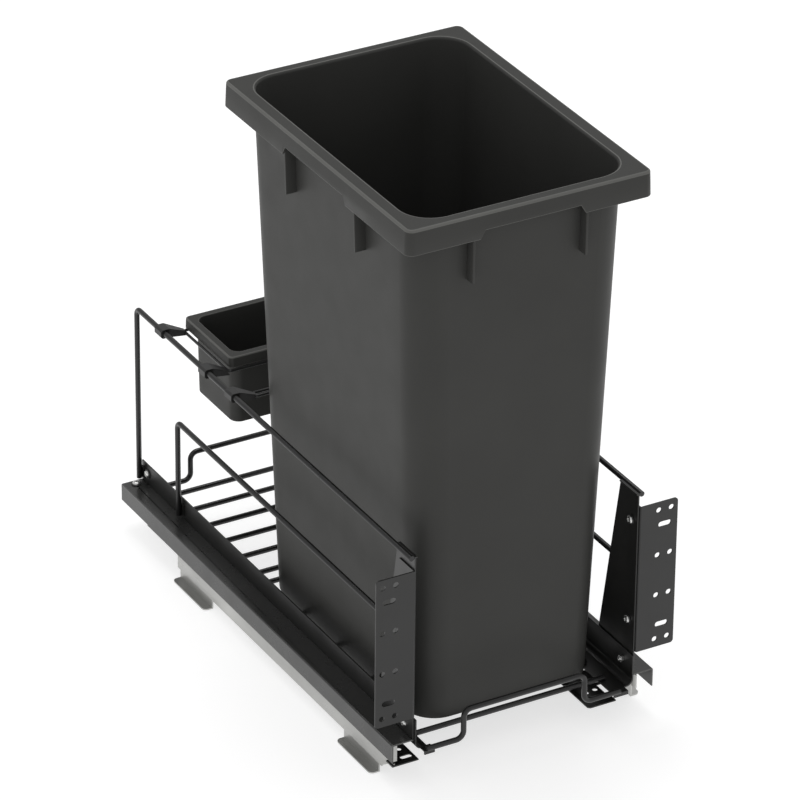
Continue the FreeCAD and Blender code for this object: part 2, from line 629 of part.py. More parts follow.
def frame_rail(side, sign):
    """The wall inside the cover, bent inwards at the bottom to carry the cross wires."""
    body = new_body(f"{side}_frame_rail")
    outer = size("cover_inside")
    bottom, top = size("rail_bottom"), size("rail_top")
    edge = size(f"{side}_rail_edge")
    corners = ((edge, bottom), (outer, bottom), (outer, top), (outer - STEEL, top),
               (outer - STEEL, bottom + STEEL), (edge, bottom + STEEL))
    profile = new_sketch(body, "profile", "XZ_Plane")
    outline(profile, [(across * sign, up) for across, up in corners])
    pad(body, profile, size("cover_rear") - 0.7, backwards=True)
    fillet(body, "outer_bend", size("rail_bend"),
           lambda line: runs_along(line, 1) and near(line.BoundBox.ZMin, bottom)
           and near(line.BoundBox.Center.x, outer * sign))
    fillet(body, "inner_bend", size("rail_bend") - STEEL,
           lambda line: runs_along(line, 1) and near(line.BoundBox.ZMin, bottom + STEEL)
           and near(line.BoundBox.Center.x, (outer - STEEL) * sign))
    near_end, far_end = TONGUE_SPAN[side]
    reach = size("tongue_reach")
    tongue = new_sketch(body, "tongue", "YZ_Plane", far_end * sign)
    lip = size("tongue_lip")
    outline(tongue, ((-reach, lip), (-reach + STEEL, lip), (-reach + STEEL, bottom), (STEEL, bottom),
                     (STEEL, bottom + STEEL), (-reach, bottom + STEEL)))
    pad(body, tongue, far_end - near_end, "tongue_pad", backwards=sign > 0)
    # raised pads that the side wires' uprights are welded to
    pads = new_sketch(body, "wire_pads", "YZ_Plane", outer * sign)
    for level in ("upper", "lower"):
        wire = size(f"{level}_wire_rear")
        foot_height = size("side_wire_foot")
        rectangle(pads, wire - size("pad_front"), foot_height, wire + size("pad_rear"),
                  foot_height + size("pad_height"))
    thickness = size("side_wire_across") - size("wire_radius") - outer
    pad(body, pads, thickness, "wire_pads_pad", backwards=sign < 0)
    bolt_holes = new_sketch(body, "bolt_holes", "YZ_Plane", outer * sign)
    circle(bolt_holes, size("frame_bolt_along"), size("frame_bolt_height"), size("hole_radius"))
    circle(bolt_holes, size("rear_bolt_along"), size("rear_bolt_height"), size("hole_radius"))
    pocket(body, bolt_holes, THROUGH, "bolt_hole_cut", both_ways=True)


def gusset(side, sign):
    """The tapered upright plate that joins the rail, the side wires and the door bracket."""
    inner = size("cover_inside")
    body = new_body(f"{side}_gusset", across=inner * sign)
    front, top, foot_height = size("gusset_front"), size("gusset_top"), size("gusset_foot")
    plate = new_sketch(body, "plate", "YZ_Plane")
    outline(plate, ((front, foot_height), (size("gusset_foot_rear"), foot_height),
                    (size("gusset_top_rear"), top), (front, top)))
    pad(body, plate, STEEL, backwards=sign < 0)
    lip = new_sketch(body, "lip", "YZ_Plane")
    rectangle(lip, front, top - STEEL, size("gusset_top_rear"), top)
    pad(body, lip, STEEL, "lip_pad", backwards=sign > 0)
    holes = new_sketch(body, "holes", "YZ_Plane")
    circle(holes, size("frame_bolt_along"), size("frame_bolt_height"), size("hole_radius"))
    for up in BRACKET_BOLT_HEIGHTS:
        circle(holes, size("bracket_bolt_along"), up, size("hole_radius"))
    pocket(body, holes, THROUGH, both_ways=True)


def door_bracket(side, sign):
    """An angle: its flange takes the door's screws, and its leg is bolted to the gusset."""
    body = new_body(f"{side}_door_bracket")
    inside, outside = size("cover_inside") + STEEL, size("bracket_outside")
    bottom, top = size("bracket_bottom"), size("bracket_top")
    corners = ((inside, 0.0), (outside, 0.0), (outside, STEEL), (inside + STEEL, STEEL),
               (inside + STEEL, size("bracket_leg")), (inside, size("bracket_leg")))
    profile = new_sketch(body, "profile", "XY_Plane", bottom)
    outline(profile, [(across * sign, along) for across, along in corners])
    pad(body, profile, top - bottom)
    fillet(body, "corners", size("bracket_corner"),
           lambda edge: runs_along(edge, 1) and near(edge.BoundBox.Center.x, outside * sign))
    fillet(body, "bend", STEEL * 0.95,
           lambda edge: runs_along(edge, 2) and near(edge.BoundBox.Center.x, inside * sign)
           and near(edge.BoundBox.Center.y, 0.0))
    holes = new_sketch(body, "door_holes", "XZ_Plane")
    inner_column, outer_column = size("inner_column"), size("outer_column")
    for up in DOOR_HOLE_HEIGHTS:
        for column in (inner_column, outer_column):
            circle(holes, column * sign, up, size("bracket_hole_radius"))
    for up in DOOR_SLOT_HEIGHTS:
        slot(holes, (inner_column + outer_column) * (0.5 * sign), up, size("bracket_slot_length"),
             size("bracket_hole_radius"))
    pocket(body, holes, THROUGH, "door_hole_cut", both_ways=True)
    leg_holes = new_sketch(body, "leg_holes", "YZ_Plane", inside * sign)
    for up in BRACKET_BOLT_HEIGHTS:
        circle(leg_holes, size("bracket_bolt_along"), up, size("hole_radius"))
    pocket(body, leg_holes, THROUGH, "leg_hole_cut", both_ways=True)


# ---------------------------------------------------------------- wire frame
def side_wire(side, sign, level):
    """An upright welded to the frame rail, bent forward to the gusset."""
    rear = size(f"{level}_wire_rear")
    foot_height = size("side_wire_foot")
    body = new_body(f"{side}_{level}_wire", size("side_wire_across") * sign, rear, foot_height)
    height = size(f"{level}_wire_height") - foot_height
    path = new_sketch(body, "path", "YZ_Plane")
    square_path(path, ((0.0, 0.0), (0.0, height), (size(f"{level}_wire_front") - rear, height)),
                size("side_wire_bend"))
    section = new_sketch(body, "section", "XY_Plane")
    circle(section, 0.0, 0.0, size("wire_radius"))
    sweep(body, path, section)


def stop_wire(end):
    """A cross wire that rises over its middle stretch."""
    left = -size("left_wire_end")
    low = size("rail_bottom") + STEEL + size("wire_radius")
    body = new_body(f"{end}_stop_wire", left, size(f"{end}_stop_at"), low)
    rise = size("stop_height") - low
    length = size("right_wire_end") - left
    inset = size("stop_inset")
    path = new_sketch(body, "path", "XZ_Plane")
    square_path(path, ((0.0, 0.0), (inset, 0.0), (inset, rise), (length - inset, rise),
                       (length - inset, 0.0), (length, 0.0)), size("stop_bend"))
    section = new_sketch(body, "section", "YZ_Plane")
    circle(section, 0.0, 0.0, size("wire_radius"))
    sweep(body, path, section)


def cross_wires():
    """Straight wires from rail to rail: one in front, five under the large bin, six behind it."""
    left = -size("left_wire_end")
    low = size("rail_bottom") + STEEL + size("wire_radius")
    rows = [size("front_cross_wire")]
    rows += [size("bin_cross_wire") + size("bin_cross_pitch") * number for number in range(5)]
    rows += [size("rear_cross_wire") - size("rear_cross_pitch") * number for number in range(5, -1, -1)]
    for number, along in enumerate(rows, start=1):
        body = new_body(f"cross_wire_{number:02d}", left, along, low)
        section = new_sketch(body, "section", "YZ_Plane")
        circle(section, 0.0, 0.0, size("wire_radius"))
        pad(body, section, size("right_wire_end") - left)


def wire_loop(label, front, rear):
    """A closed loop of thin wire between the clips: half of it is bent, then mirrored."""
    body = new_body(label, up=size("ring_height"))
    half = size("ring_half_width")
    path = new_sketch(body, "path", "XY_Plane")
    square_path(path, ((0.0, front), (half, front), (half, rear), (0.0, rear)), size("ring_bend"))
    section = new_sketch(body, "section", "YZ_Plane")
    circle(section, front, 0.0, size("thin_wire_radius"))
    sweep(body, path, section)
    doc.recompute()
    mirrored = body.newObject("PartDesign::Mirrored", f"{label}_mirror")
    mirrored.Originals = [body.Tip]
    plane = next(item for item in body.Origin.OriginFeatures if item.Role == "YZ_Plane")
    mirrored.MirrorPlane = (plane, [""])
    body.Tip = mirrored


def clip(side, sign, name):
    """A moulded clip: a collar snapped over the side wire, and an arm whose tip grips a wire loop."""
    across = size("side_wire_across")
    body = new_body(f"{side}_{name}_clip", across * sign, size(f"{name}_clip_at"), size("upper_wire_height"))
    reach = across - size("ring_half_width")
    drop = size("ring_height") - size("upper_wire_height")
    half = size("clip_half_length")
    outside, crown, sole = size("clip_outside"), size("clip_crown"), size("clip_sole")
    collar, tip = size("clip_collar"), size("clip_tip")
    chamfer = outside * 0.45
    profile = new_sketch(body, "profile", "XZ_Plane")
    corners = ((-outside, chamfer - sole), (-outside, crown - chamfer), (chamfer - outside, crown),
               (collar, crown), (reach, drop + tip), (reach, drop - tip), (collar, -sole),
               (chamfer - outside, -sole))
    outline(profile, [(as_size(inwards) * -sign, up) for inwards, up in corners])
    circle(profile, 0.0, 0.0, size("wire_radius") + 0.1)
    pad(body, profile, half * 3, both_ways=True)
    grip = new_sketch(body, "grip", "XZ_Plane")
    circle(grip, reach * -sign, drop, size("thin_wire_radius") + 0.1)
    pocket(body, grip, half * 4, "grip_cut", both_ways=True)
    # the collar and the slanted arm are cut out of the bar between these two outlines
    sides = new_sketch(body, "sides", "XY_Plane")
    edge, end, beyond = -outside - 1.0, reach + 1.0, half * 2
    for way in (1, -1):
        corners = ((edge, half * way), (collar, half * way), (end, tip * way - size("clip_offset")),
                   (end, beyond * way), (edge, beyond * way))
        outline(sides, [(as_size(inwards) * -sign, along) for inwards, along in corners])
    pocket(body, sides, THROUGH * 2, "sides_cut", both_ways=True)


# ---------------------------------------------------------------- bins
def rounded_loft(body, name, lower, upper, kind="PartDesign::AdditiveLoft"):
    """A loft between two sections, each given behind its height."""
    sketches = []
    for end, (height, *section) in (("low", lower), ("high", upper)):
        sketch = new_sketch(body, f"{name}_{end}", "XY_Plane", height)
        rounded_rectangle(sketch, *section)
        sketches.append(sketch)
    feature = body.newObject(kind, f"{body.Label}_{name}")
    feature.Profile = sketches[0]
    feature.Sections = [sketches[1]]
    feature.Ruled = True


def shrunk(section, inset):
    """A section drawn in by inset all round."""
    half, front, rear, corner, middle = section
    return half - inset, front + inset, rear - inset, corner - inset, middle


def rimmed_bin(label, heights, wall, foot_section, mouth_section, rim_section, flare, bevel, rounding):
    """A tapered bin whose rim turns out and down; a section is half width, front, rear, corner, middle."""
    body = new_body(label)
    bottom, rim_low, top = heights
    rounded_loft(body, "foot", (bottom, *shrunk(foot_section, bevel)), (bottom + bevel, *foot_section))
    rounded_loft(body, "outside", (bottom + bevel, *foot_section), (top, *mouth_section))
    half, front, rear, corner, middle = rim_section
    flared = (half + flare, front - flare, rear + flare, corner, middle)
    rounded_loft(body, "rim", (rim_low, *flared), (top, *rim_section))
    fillet(body, "rim_rounding", rounding, lambda edge: near(edge.BoundBox.ZMin, top))
    # the hollow between the rim's skirt and the body, open below
    hollow = new_sketch(body, "rim_hollow", "XY_Plane", rim_low - 1.0)
    rounded_rectangle(hollow, *shrunk(rim_section, wall))
    rounded_rectangle(hollow, *mouth_section)
    pocket(body, hollow, top - wall - rim_low + 1.0, "rim_hollow_cut", backwards=True)
    # the inside, from the floor to just above the top
    rounded_loft(body, "inside", (bottom + bevel + wall * 0.5, *shrunk(foot_section, wall)),
                 (top + 1.0, *shrunk(mouth_section, wall)), "PartDesign::SubtractiveLoft")
    return body


def wall_place(height, at_foot, at_mouth):
    """Where the large bin's outer face stands at a height."""
    share = (as_size(height) - size("bin_bottom")) / (size("bin_top") - size("bin_bottom"))
    return at_foot + (at_mouth - at_foot) * share


def fin_outline(at_foot, at_mouth, depth):
    """A fin's corners: its root lies inside the wall, its edge inside the rim's skirt."""
    low, high = size("fin_foot"), size("bin_top") - size("rim_height") * 0.5
    outwards = math.copysign(1.0, depth.value)
    root = size("bin_wall") * (-0.5 * outwards)
    low_wall, high_wall = wall_place(low, at_foot, at_mouth), wall_place(high, at_foot, at_mouth)
    return ((low_wall + root, low), (low_wall + depth, low), (high_wall + depth, high),
            (high_wall + root, high))


def large_bin():
    foot_section = (size("foot_half_width"), size("foot_front"), size("foot_rear"), size("foot_body_corner"),
                    size("foot_shift"))
    mouth_section = (size("mouth_half_width"), size("mouth_front"), size("mouth_rear"), size("mouth_corner"),
                     0.0)
    rim_section = (size("rim_half_width"), size("rim_front"), size("rim_rear"), size("rim_corner"), 0.0)
    top = size("bin_top")
    rim_low = top - size("rim_height")
    body = rimmed_bin("large_bin", (size("bin_bottom"), rim_low, top), size("bin_wall"), foot_section,
                      mouth_section, rim_section, size("rim_flare"), size("bin_foot_bevel"),
                      size("rim_rounding"))
    # hand grips: the skirt is shallower over a stretch of each side
    clear = size("bin_wall") + 1.0
    low, high = rim_low - 1.0, rim_low + size("grip_rise")
    slope = size("grip_rise") * 0.6
    side_lift = size("rim_half_width") - clear
    grips = (("front", "XZ_Plane", -(size("rim_front") + clear), True, "front_grip_left", "front_grip_right"),
             ("rear", "XZ_Plane", -(size("rim_rear") - clear), False, "front_grip_left", "front_grip_right"),
             ("left", "YZ_Plane", -side_lift, False, "side_grip_front", "side_grip_rear"),
             ("right", "YZ_Plane", side_lift, True, "side_grip_front", "side_grip_rear"))
    for name, plane, lift, backwards, start, end in grips:
        sketch = new_sketch(body, f"{name}_grip", plane, lift)
        start, end = size(start), size(end)
        outline(sketch, ((start, low), (end, low), (end - slope, high), (start + slope, high)))
        pocket(body, sketch, THROUGH, f"{name}_grip_cut", backwards=backwards)
    # fins that stop stacked bins from jamming, two under the rim on each side
    depth = size("fin_depth")
    foot_left = size("foot_shift") - size("foot_half_width")
    foot_right = size("foot_shift") + size("foot_half_width")
    walls = (("front", "YZ_Plane", size("foot_front"), size("mouth_front"), -depth),
             ("rear", "YZ_Plane", size("foot_rear"), size("mouth_rear"), size("rear_fin_depth")),
             ("left", "XZ_Plane", foot_left, -size("mouth_half_width"), -depth),
             ("right", "XZ_Plane", foot_right, size("mouth_half_width"), depth))
    for name, plane, at_foot, at_mouth, wall_depth in walls:
        lifts = (-size("front_fin_offset"), size("front_fin_offset"))
        if plane == "XZ_Plane":
            lifts = (-size("side_fin_front"), -size("side_fin_rear"))
        for number, lift in enumerate(lifts, start=1):
            sketch = new_sketch(body, f"{name}_fin_{number}", plane, lift)
            outline(sketch, fin_outline(at_foot, at_mouth, wall_depth))
            pad(body, sketch, size("fin_thickness"), f"{name}_fin_pad_{number}", both_ways=True)


def caddy_bin():
    half, front, rear = size("caddy_half_width"), size("caddy_front"), size("caddy_rear")
    ledge, taper, corner = size("caddy_ledge"), size("caddy_taper"), size("caddy_corner")
    mouth_section = (half - ledge, front + ledge, rear - ledge, corner, 0.0)
    foot_section = shrunk(mouth_section, taper)
    top = size("caddy_top")
    rimmed_bin("caddy_bin", (size("caddy_bottom"), top - size("caddy_rim_height"), top), size("caddy_wall"),
               foot_section, mouth_section, (half, front, rear, size("caddy_rim_corner"), 0.0),
               size("caddy_rim_flare"), size("caddy_foot_bevel"), size("caddy_rim_rounding"))


# ---------------------------------------------------------------- fasteners
def round_solid(radius, height, foot_point, direction):
    return Part.makeCylinder(radius, height, foot_point, direction)


def screw(seat, direction, length):
    """A pan-headed screw: its head stands on seat along direction, its shank goes the other way."""
    head = round_solid(VALUES["head_radius"], VALUES["head_height"], seat, direction)
    crown = seat + direction * VALUES["head_height"]
    far_edges = [edge for edge in head.Edges if (edge.CenterOfMass - crown).Length < 0.01]
    head = head.makeFillet(VALUES["head_height"] * 0.6, far_edges)
    return head.fuse(round_solid(VALUES["shank_radius"], length, seat, direction * -1)).removeSplitter()


def washer(seat, direction):
    """A washer that stands on seat along direction."""
    disc = round_solid(VALUES["washer_radius"], VALUES["washer_height"], seat, direction)
    return disc.cut(round_solid(VALUES["hole_radius"], VALUES["washer_height"], seat, direction))


def nut(seat, direction):
    """A hexagonal nut that stands on seat along direction, an X direction."""
    corner_radius = VALUES["nut_width"] / math.sqrt(3)
    corners = []
    for number in range(7):
        angle = math.radians(60 * number)
        corners.append(seat + Vector(0, math.cos(angle), math.sin(angle)) * corner_radius)
    block = Part.Face(Part.makePolygon(corners)).extrude(direction * VALUES["nut_height"])
    return block.cut(round_solid(VALUES["shank_radius"], VALUES["nut_height"], seat, direction))


def fasteners():
    """Bolts, screws, washers and nuts, each kind in one node."""
    bolts, rear_screws, washers, nuts = [], [], [], []
    steel, washer_height = VALUES["steel"], VALUES["washer_height"]
    grip = 2 * steel
    bolt_length = washer_height + grip + VALUES["nut_height"] + 1.0
    rail_face = VALUES["cover_inside"]
    for side, sign in SIDES:
        out = Vector(sign, 0, 0)
        for up in BRACKET_BOLT_HEIGHTS:
            seat = Vector(rail_face * sign, VALUES["bracket_bolt_along"], up)
            washers.append(washer(seat, out * -1))
            bolts.append(screw(seat - out * washer_height, out * -1, bolt_length))
            nuts.append(nut(seat + out * grip, out))
        seat = Vector((rail_face + steel) * sign, VALUES["frame_bolt_along"], VALUES["frame_bolt_height"])
        bolts.append(screw(seat, out, bolt_length))
        nuts.append(nut(seat - out * grip, out * -1))
        seat = Vector(rail_face * sign, VALUES["rear_bolt_along"], VALUES["rear_bolt_height"])
        washers.append(washer(seat, out))
        rear_screws.append(screw(seat + out * washer_height, out, bolt_length - steel))
        nuts.append(nut(seat - out * steel, out * -1))
        seat = Vector(VALUES["cover_screw_across"] * sign, VALUES["cover_screw_along"], VALUES["cover_top"])
        washers.append(washer(seat, Vector(0, 0, 1)))
        rear_screws.append(screw(seat + Vector(0, 0, washer_height), Vector(0, 0, 1), washer_height + steel))
    group("bolts", bolts)
    group("rear_screws", rear_screws)
    group("washers", washers)
    group("nuts", nuts)


# ---------------------------------------------------------------- the whole unit
def build():
    for side, sign in SIDES:
        fixed_channel(side, sign)
        front_plate(side, sign)
        foot(side, sign, "front")
        foot(side, sign, "rear")
        middle_member(side, sign)
        ball_cage(side, sign, "lower", size("channel_inside") + STEEL, size("middle_inside"))
        ball_cage(side, sign, "upper", size("middle_outside"),
                  size("cover_outside") - STEEL - size("thin_steel"))
        rail_cover(side, sign)
        track(side, sign)
        frame_rail(side, sign)
        gusset(side, sign)
        door_bracket(side, sign)
        side_wire(side, sign, "upper")
        side_wire(side, sign, "lower")
        clip(side, sign, "rear")
        clip(side, sign, "front")
        clip(side, sign, "bar")
    stop_wire("front")
    stop_wire("rear")
    cross_wires()
    wire_loop("caddy_ring", size("ring_front"), size("ring_rear"))
    wire_loop("bag_bar", size("bar_front"), size("bar_rear"))
    large_bin()
    caddy_bin()
    fasteners()


def check_document():
    """Stops if any object failed or any sub-part has no sound shape."""
    for item in doc.Objects:
        if "Invalid" in item.State or "Error" in item.State:
            raise RuntimeError(f"{item.Label} did not recompute: {item.State}")
    for item in nodes:
        if item.Shape.isNull() or not item.Shape.isValid():
            raise RuntimeError(f"{item.Label} has no valid shape")


build()
doc.recompute()
check_document()
os.makedirs("parts", exist_ok=True)
for node in nodes:
    node.Shape.exportStep(f"parts/{node.Label}.step")
print(len(nodes), "sub-parts written")
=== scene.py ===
import math

import bmesh
import bpy
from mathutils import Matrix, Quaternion, Vector


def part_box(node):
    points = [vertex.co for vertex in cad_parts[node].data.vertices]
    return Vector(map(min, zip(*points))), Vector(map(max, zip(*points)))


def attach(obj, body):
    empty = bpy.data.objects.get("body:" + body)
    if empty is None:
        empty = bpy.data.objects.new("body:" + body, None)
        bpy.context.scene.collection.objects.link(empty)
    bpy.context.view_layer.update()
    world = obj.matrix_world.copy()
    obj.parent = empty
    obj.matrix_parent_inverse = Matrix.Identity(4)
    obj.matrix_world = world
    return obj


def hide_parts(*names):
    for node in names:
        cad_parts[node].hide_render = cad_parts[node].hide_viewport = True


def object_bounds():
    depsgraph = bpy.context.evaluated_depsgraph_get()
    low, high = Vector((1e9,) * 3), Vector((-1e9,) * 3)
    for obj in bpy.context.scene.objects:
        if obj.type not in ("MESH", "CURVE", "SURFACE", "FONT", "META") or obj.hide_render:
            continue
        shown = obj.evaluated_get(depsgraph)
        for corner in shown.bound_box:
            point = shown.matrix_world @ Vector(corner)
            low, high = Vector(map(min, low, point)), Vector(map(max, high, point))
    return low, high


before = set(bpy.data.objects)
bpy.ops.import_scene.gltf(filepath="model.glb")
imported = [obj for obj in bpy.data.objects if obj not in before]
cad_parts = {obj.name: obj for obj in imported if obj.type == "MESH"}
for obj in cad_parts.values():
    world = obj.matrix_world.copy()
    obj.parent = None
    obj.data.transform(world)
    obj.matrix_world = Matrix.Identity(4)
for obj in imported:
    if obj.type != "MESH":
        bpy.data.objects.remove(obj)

# Looks of the pull-out waste bin unit.  Metres, X to the right, Y to the back, Z up.
cad_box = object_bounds()
MM = 0.001


# ---------------------------------------------------------------- materials
CLOUD_SCALE = 11.0  # broad mottling of the colour
GLOSS_SCALE = 34.0  # patches of uneven gloss
WAVE_SCALE = 7.0  # slow unevenness of painted sheet
SPECK_SCALE = 420.0  # fine dust
SPECK_SHARE = 0.35  # how much of the dust's colour shows in a speck
SPECK_RANGE = (0.66, 0.78)  # only the peaks of the noise are specks
EDGE_ROUGHNESS = 0.85  # roughness of the edge finish, as a share of the face's; that finish is painted lighter as a highlight


class Nodes:
    """Short calls for building a material's node tree."""

    def __init__(self, name):
        self.material = bpy.data.materials.new(name)
        self.material.use_nodes = True
        self.tree = self.material.node_tree
        self.shader = self.tree.nodes["Principled BSDF"]

    def add(self, kind, **settings):
        node = self.tree.nodes.new(kind)
        for key, value in settings.items():
            setattr(node, key, value)
        return node

    def link(self, output, target):
        self.tree.links.new(output, target)

    def noise(self, scale, detail=3.0, stretch=(1, 1, 1), rough=0.5):
        place = self.add("ShaderNodeTexCoord")
        mapping = self.add("ShaderNodeMapping")
        mapping.inputs["Scale"].default_value = stretch
        texture = self.add("ShaderNodeTexNoise")
        texture.inputs["Scale"].default_value = scale
        texture.inputs["Detail"].default_value = detail
        texture.inputs["Roughness"].default_value = rough
        self.link(place.outputs["Object"], mapping.inputs["Vector"])
        self.link(mapping.outputs["Vector"], texture.inputs["Vector"])
        return texture.outputs["Fac"]

    def ranged(self, value, low, high, start=0.3, end=0.7):
        """Turns the stretch from start to end into low to high."""
        step = self.add("ShaderNodeMapRange")
        step.inputs["From Min"].default_value = start
        step.inputs["From Max"].default_value = end
        step.inputs["To Min"].default_value = low
        step.inputs["To Max"].default_value = high
        self.link(value, step.inputs["Value"])
        return step.outputs["Result"]

    def mixed(self, share, first, second):
        """A blend of two colours, each a tuple or the output of a node."""
        mix = self.add("ShaderNodeMix", data_type="RGBA")
        for socket, colour in (("A", first), ("B", second)):
            if isinstance(colour, tuple):
                mix.inputs[socket].default_value = (*colour, 1)
            else:
                self.link(colour, mix.inputs[socket])
        self.link(share, mix.inputs["Factor"])
        return mix.outputs["Result"]

    def bump(self, height, depth, before=None):
        node = self.add("ShaderNodeBump")
        node.inputs["Strength"].default_value = 1.0
        node.inputs["Distance"].default_value = depth
        self.link(height, node.inputs["Height"])
        if before is not None:
            self.link(before, node.inputs["Normal"])
        return node.outputs["Normal"]


def tinted(colour, factor):
    return tuple(min(1.0, channel * factor) for channel in colour)


def surface(name, colour, roughness, grain, depth, spread=0.06, mottle=0.10, metallic=0.0,
            specular=0.5, stretch=(1, 1, 1), wave=0.0, dust=None):
    """A procedural finish: mottled colour, uneven gloss, fine grain and a slow wave in the surface."""
    look = Nodes(name)
    shader = look.shader
    shader.inputs["Metallic"].default_value = metallic
    shader.inputs["Specular IOR Level"].default_value = specular
    cloud = look.ranged(look.noise(CLOUD_SCALE, 4.0), 0.0, 1.0)
    tone = look.mixed(cloud, tinted(colour, 1 - mottle), tinted(colour, 1 + mottle))
    if dust is not None:
        speck = look.ranged(look.noise(SPECK_SCALE, 2.0, rough=0.7), 0.0, SPECK_SHARE, *SPECK_RANGE)
        tone = look.mixed(speck, tone, dust)
    look.link(tone, shader.inputs["Base Color"])
    gloss = look.noise(GLOSS_SCALE, 5.0, stretch)
    look.link(look.ranged(gloss, roughness - spread, roughness + spread), shader.inputs["Roughness"])
    normal = look.bump(look.noise(grain, 2.0, stretch), depth)
    if wave:
        normal = look.bump(look.noise(WAVE_SCALE, 1.0), wave, normal)
    look.link(normal, shader.inputs["Normal"])
    return look.material


def finish(name, highlight_factor, colour, roughness, **details):
    """A finish and its variant for the edges: slightly glossier, and painted lighter as a highlight."""
    face = surface(name, colour, roughness, **details)
    # the edge variant's lighter colour is a painted highlight along the edges
    edge = surface(f"{name}_edge", tinted(colour, highlight_factor), roughness * EDGE_ROUGHNESS, **details)
    return face, edge


# after the name: how much lighter the edges are painted as a highlight, the colour and the roughness
FINISHES = {
    "bin_plastic": finish("bin_plastic", 2.7, (0.046, 0.046, 0.0436), 0.44, grain=1500.0, depth=0.00003,
                          spread=0.03, mottle=0.05, specular=0.12, dust=(0.054, 0.054, 0.0515)),
    "clip_plastic": finish("clip_plastic", 1.3, (0.012, 0.012, 0.012), 0.40, grain=1800.0, depth=0.00003),
    "black_wire": finish("black_wire", 2.0, (0.010, 0.010, 0.010), 0.30, grain=900.0, depth=0.00003,
                         dust=(0.014, 0.014, 0.014)),
    "black_steel": finish("black_steel", 3.5, (0.010, 0.010, 0.0095), 0.36, grain=1100.0, depth=0.00003,
                          wave=0.0002, dust=(0.014, 0.014, 0.0135)),
    "cover_paint": finish("cover_paint", 4.0, (0.030, 0.030, 0.029), 0.28, grain=1300.0, depth=0.00001,
                          wave=0.0001, dust=(0.034, 0.034, 0.033)),
    "zinc_steel": finish("zinc_steel", 1.15, (0.45, 0.45, 0.437), 0.36, grain=260.0, depth=0.00002,
                         metallic=1.0, mottle=0.14, spread=0.10, stretch=(3.0, 0.25, 3.0)),
    "ball_steel": finish("ball_steel", 1.0, (0.72, 0.72, 0.72), 0.14, grain=700.0, depth=0.000002,
                         metallic=1.0, mottle=0.04),
    "screw_steel": finish("screw_steel", 1.1, (0.66, 0.66, 0.65), 0.27, grain=1600.0, depth=0.00001,
                          metallic=1.0, spread=0.08),
    "black_washer": finish("black_washer", 1.8, (0.014, 0.014, 0.014), 0.42, grain=1200.0, depth=0.00002),
}


# ---------------------------------------------------------------- carried-over CAD nodes
# the finish of a CAD node, by the first of these words in its name
KINDS = (("bin", "bin_plastic"), ("clip", "clip_plastic"), ("wire", "black_wire"), ("ring", "black_wire"),
         ("bag_bar", "black_wire"), ("cover", "cover_paint"), ("balls", "ball_steel"),
         ("screws", "screw_steel"), ("bolts", "screw_steel"), ("nuts", "screw_steel"),
         ("washers", "black_washer"), ("channel", "zinc_steel"), ("track", "zinc_steel"),
         ("middle", "zinc_steel"), ("cage", "zinc_steel"), ("foot", "zinc_steel"))
ROUNDING = {"cover_paint": 0.55 * MM, "black_steel": 0.5 * MM, "clip_plastic": 0.6 * MM,
            "black_wire": 0.5 * MM, "ball_steel": 0.0, "black_washer": 0.2 * MM}
DEFAULT_ROUNDING = 0.3 * MM
WELD_DISTANCE = 0.002 * MM
ROUNDED_FROM = math.radians(40)  # edges bent more than this are rounded


def slot_of(node):
    for word, slot_name in KINDS:
        if word in node:
            return slot_name
    return "black_steel"


def dress(obj, slot_name):
    for material in FINISHES[slot_name]:
        obj.data.materials.append(material)


def rounded_edges(obj, width):
    """Welds the mesh and rounds its edges; the roundings take the edge finish, painted lighter as a
    highlight.
    """
    weld = obj.modifiers.new("weld", "WELD")
    weld.merge_threshold = WELD_DISTANCE
    bevel = obj.modifiers.new("rounding", "BEVEL")
    bevel.width = width
    bevel.segments = 2
    bevel.limit_method = "ANGLE"
    bevel.angle_limit = ROUNDED_FROM
    # the rounding faces take the edge material, a painted highlight
    bevel.material = 1
    bevel.harden_normals = True


for name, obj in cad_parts.items():
    slot_name = slot_of(name)
    obj.data.materials.clear()
    dress(obj, slot_name)
    width = ROUNDING.get(slot_name, DEFAULT_ROUNDING)
    if width:
        rounded_edges(obj, width)


# ---------------------------------------------------------------- building pieces
SHARP_FROM = math.radians(35)  # a piece's edges bent more than this are shaded as corners


def add_piece(name, work, slot_name, node, body):
    """Makes an object of the bmesh; it stands for the CAD node and rides on its body."""
    mesh = bpy.data.meshes.new(name)
    bmesh.ops.recalc_face_normals(work, faces=work.faces)
    work.to_mesh(mesh)
    work.free()
    for polygon in mesh.polygons:
        polygon.use_smooth = True
    mesh.set_sharp_from_angle(angle=SHARP_FROM)
    piece = bpy.data.objects.new(name, mesh)
    bpy.context.scene.collection.objects.link(piece)
    dress(piece, slot_name)
    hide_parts(node)
    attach(piece, body)


def bridge(work, rings, highlighted=None):
    """Quads between successive closed rings; those between two highlighted rings take the edge finish, a
    painted highlight.
    """
    faces = []
    for level, (lower, upper) in enumerate(zip(rings, rings[1:])):
        edge = highlighted is not None and highlighted[level] and highlighted[level + 1]
        for number, vertex in enumerate(lower):
            following = (number + 1) % len(lower)
            face = work.faces.new((vertex, lower[following], upper[following], upper[number]))
            face.material_index = 1 if edge else 0
            faces.append(face)
    return faces


def closed(work, rings, highlighted=None):
    """A closed skin through the rings, with a flat end at the first and at the last."""
    bridge(work, rings, highlighted)
    work.faces.new(list(reversed(rings[0])))
    work.faces.new(rings[-1])


# ---------------------------------------------------------------- bins
FRONT, RIGHT, REAR, LEFT, CORNER = 0, 1, 2, 3, -1
ARC_STEPS = 10  # in each corner of a section
LEAST_CORNER = 0.5 * MM
MARK_CLEARANCE = 0.2 * MM


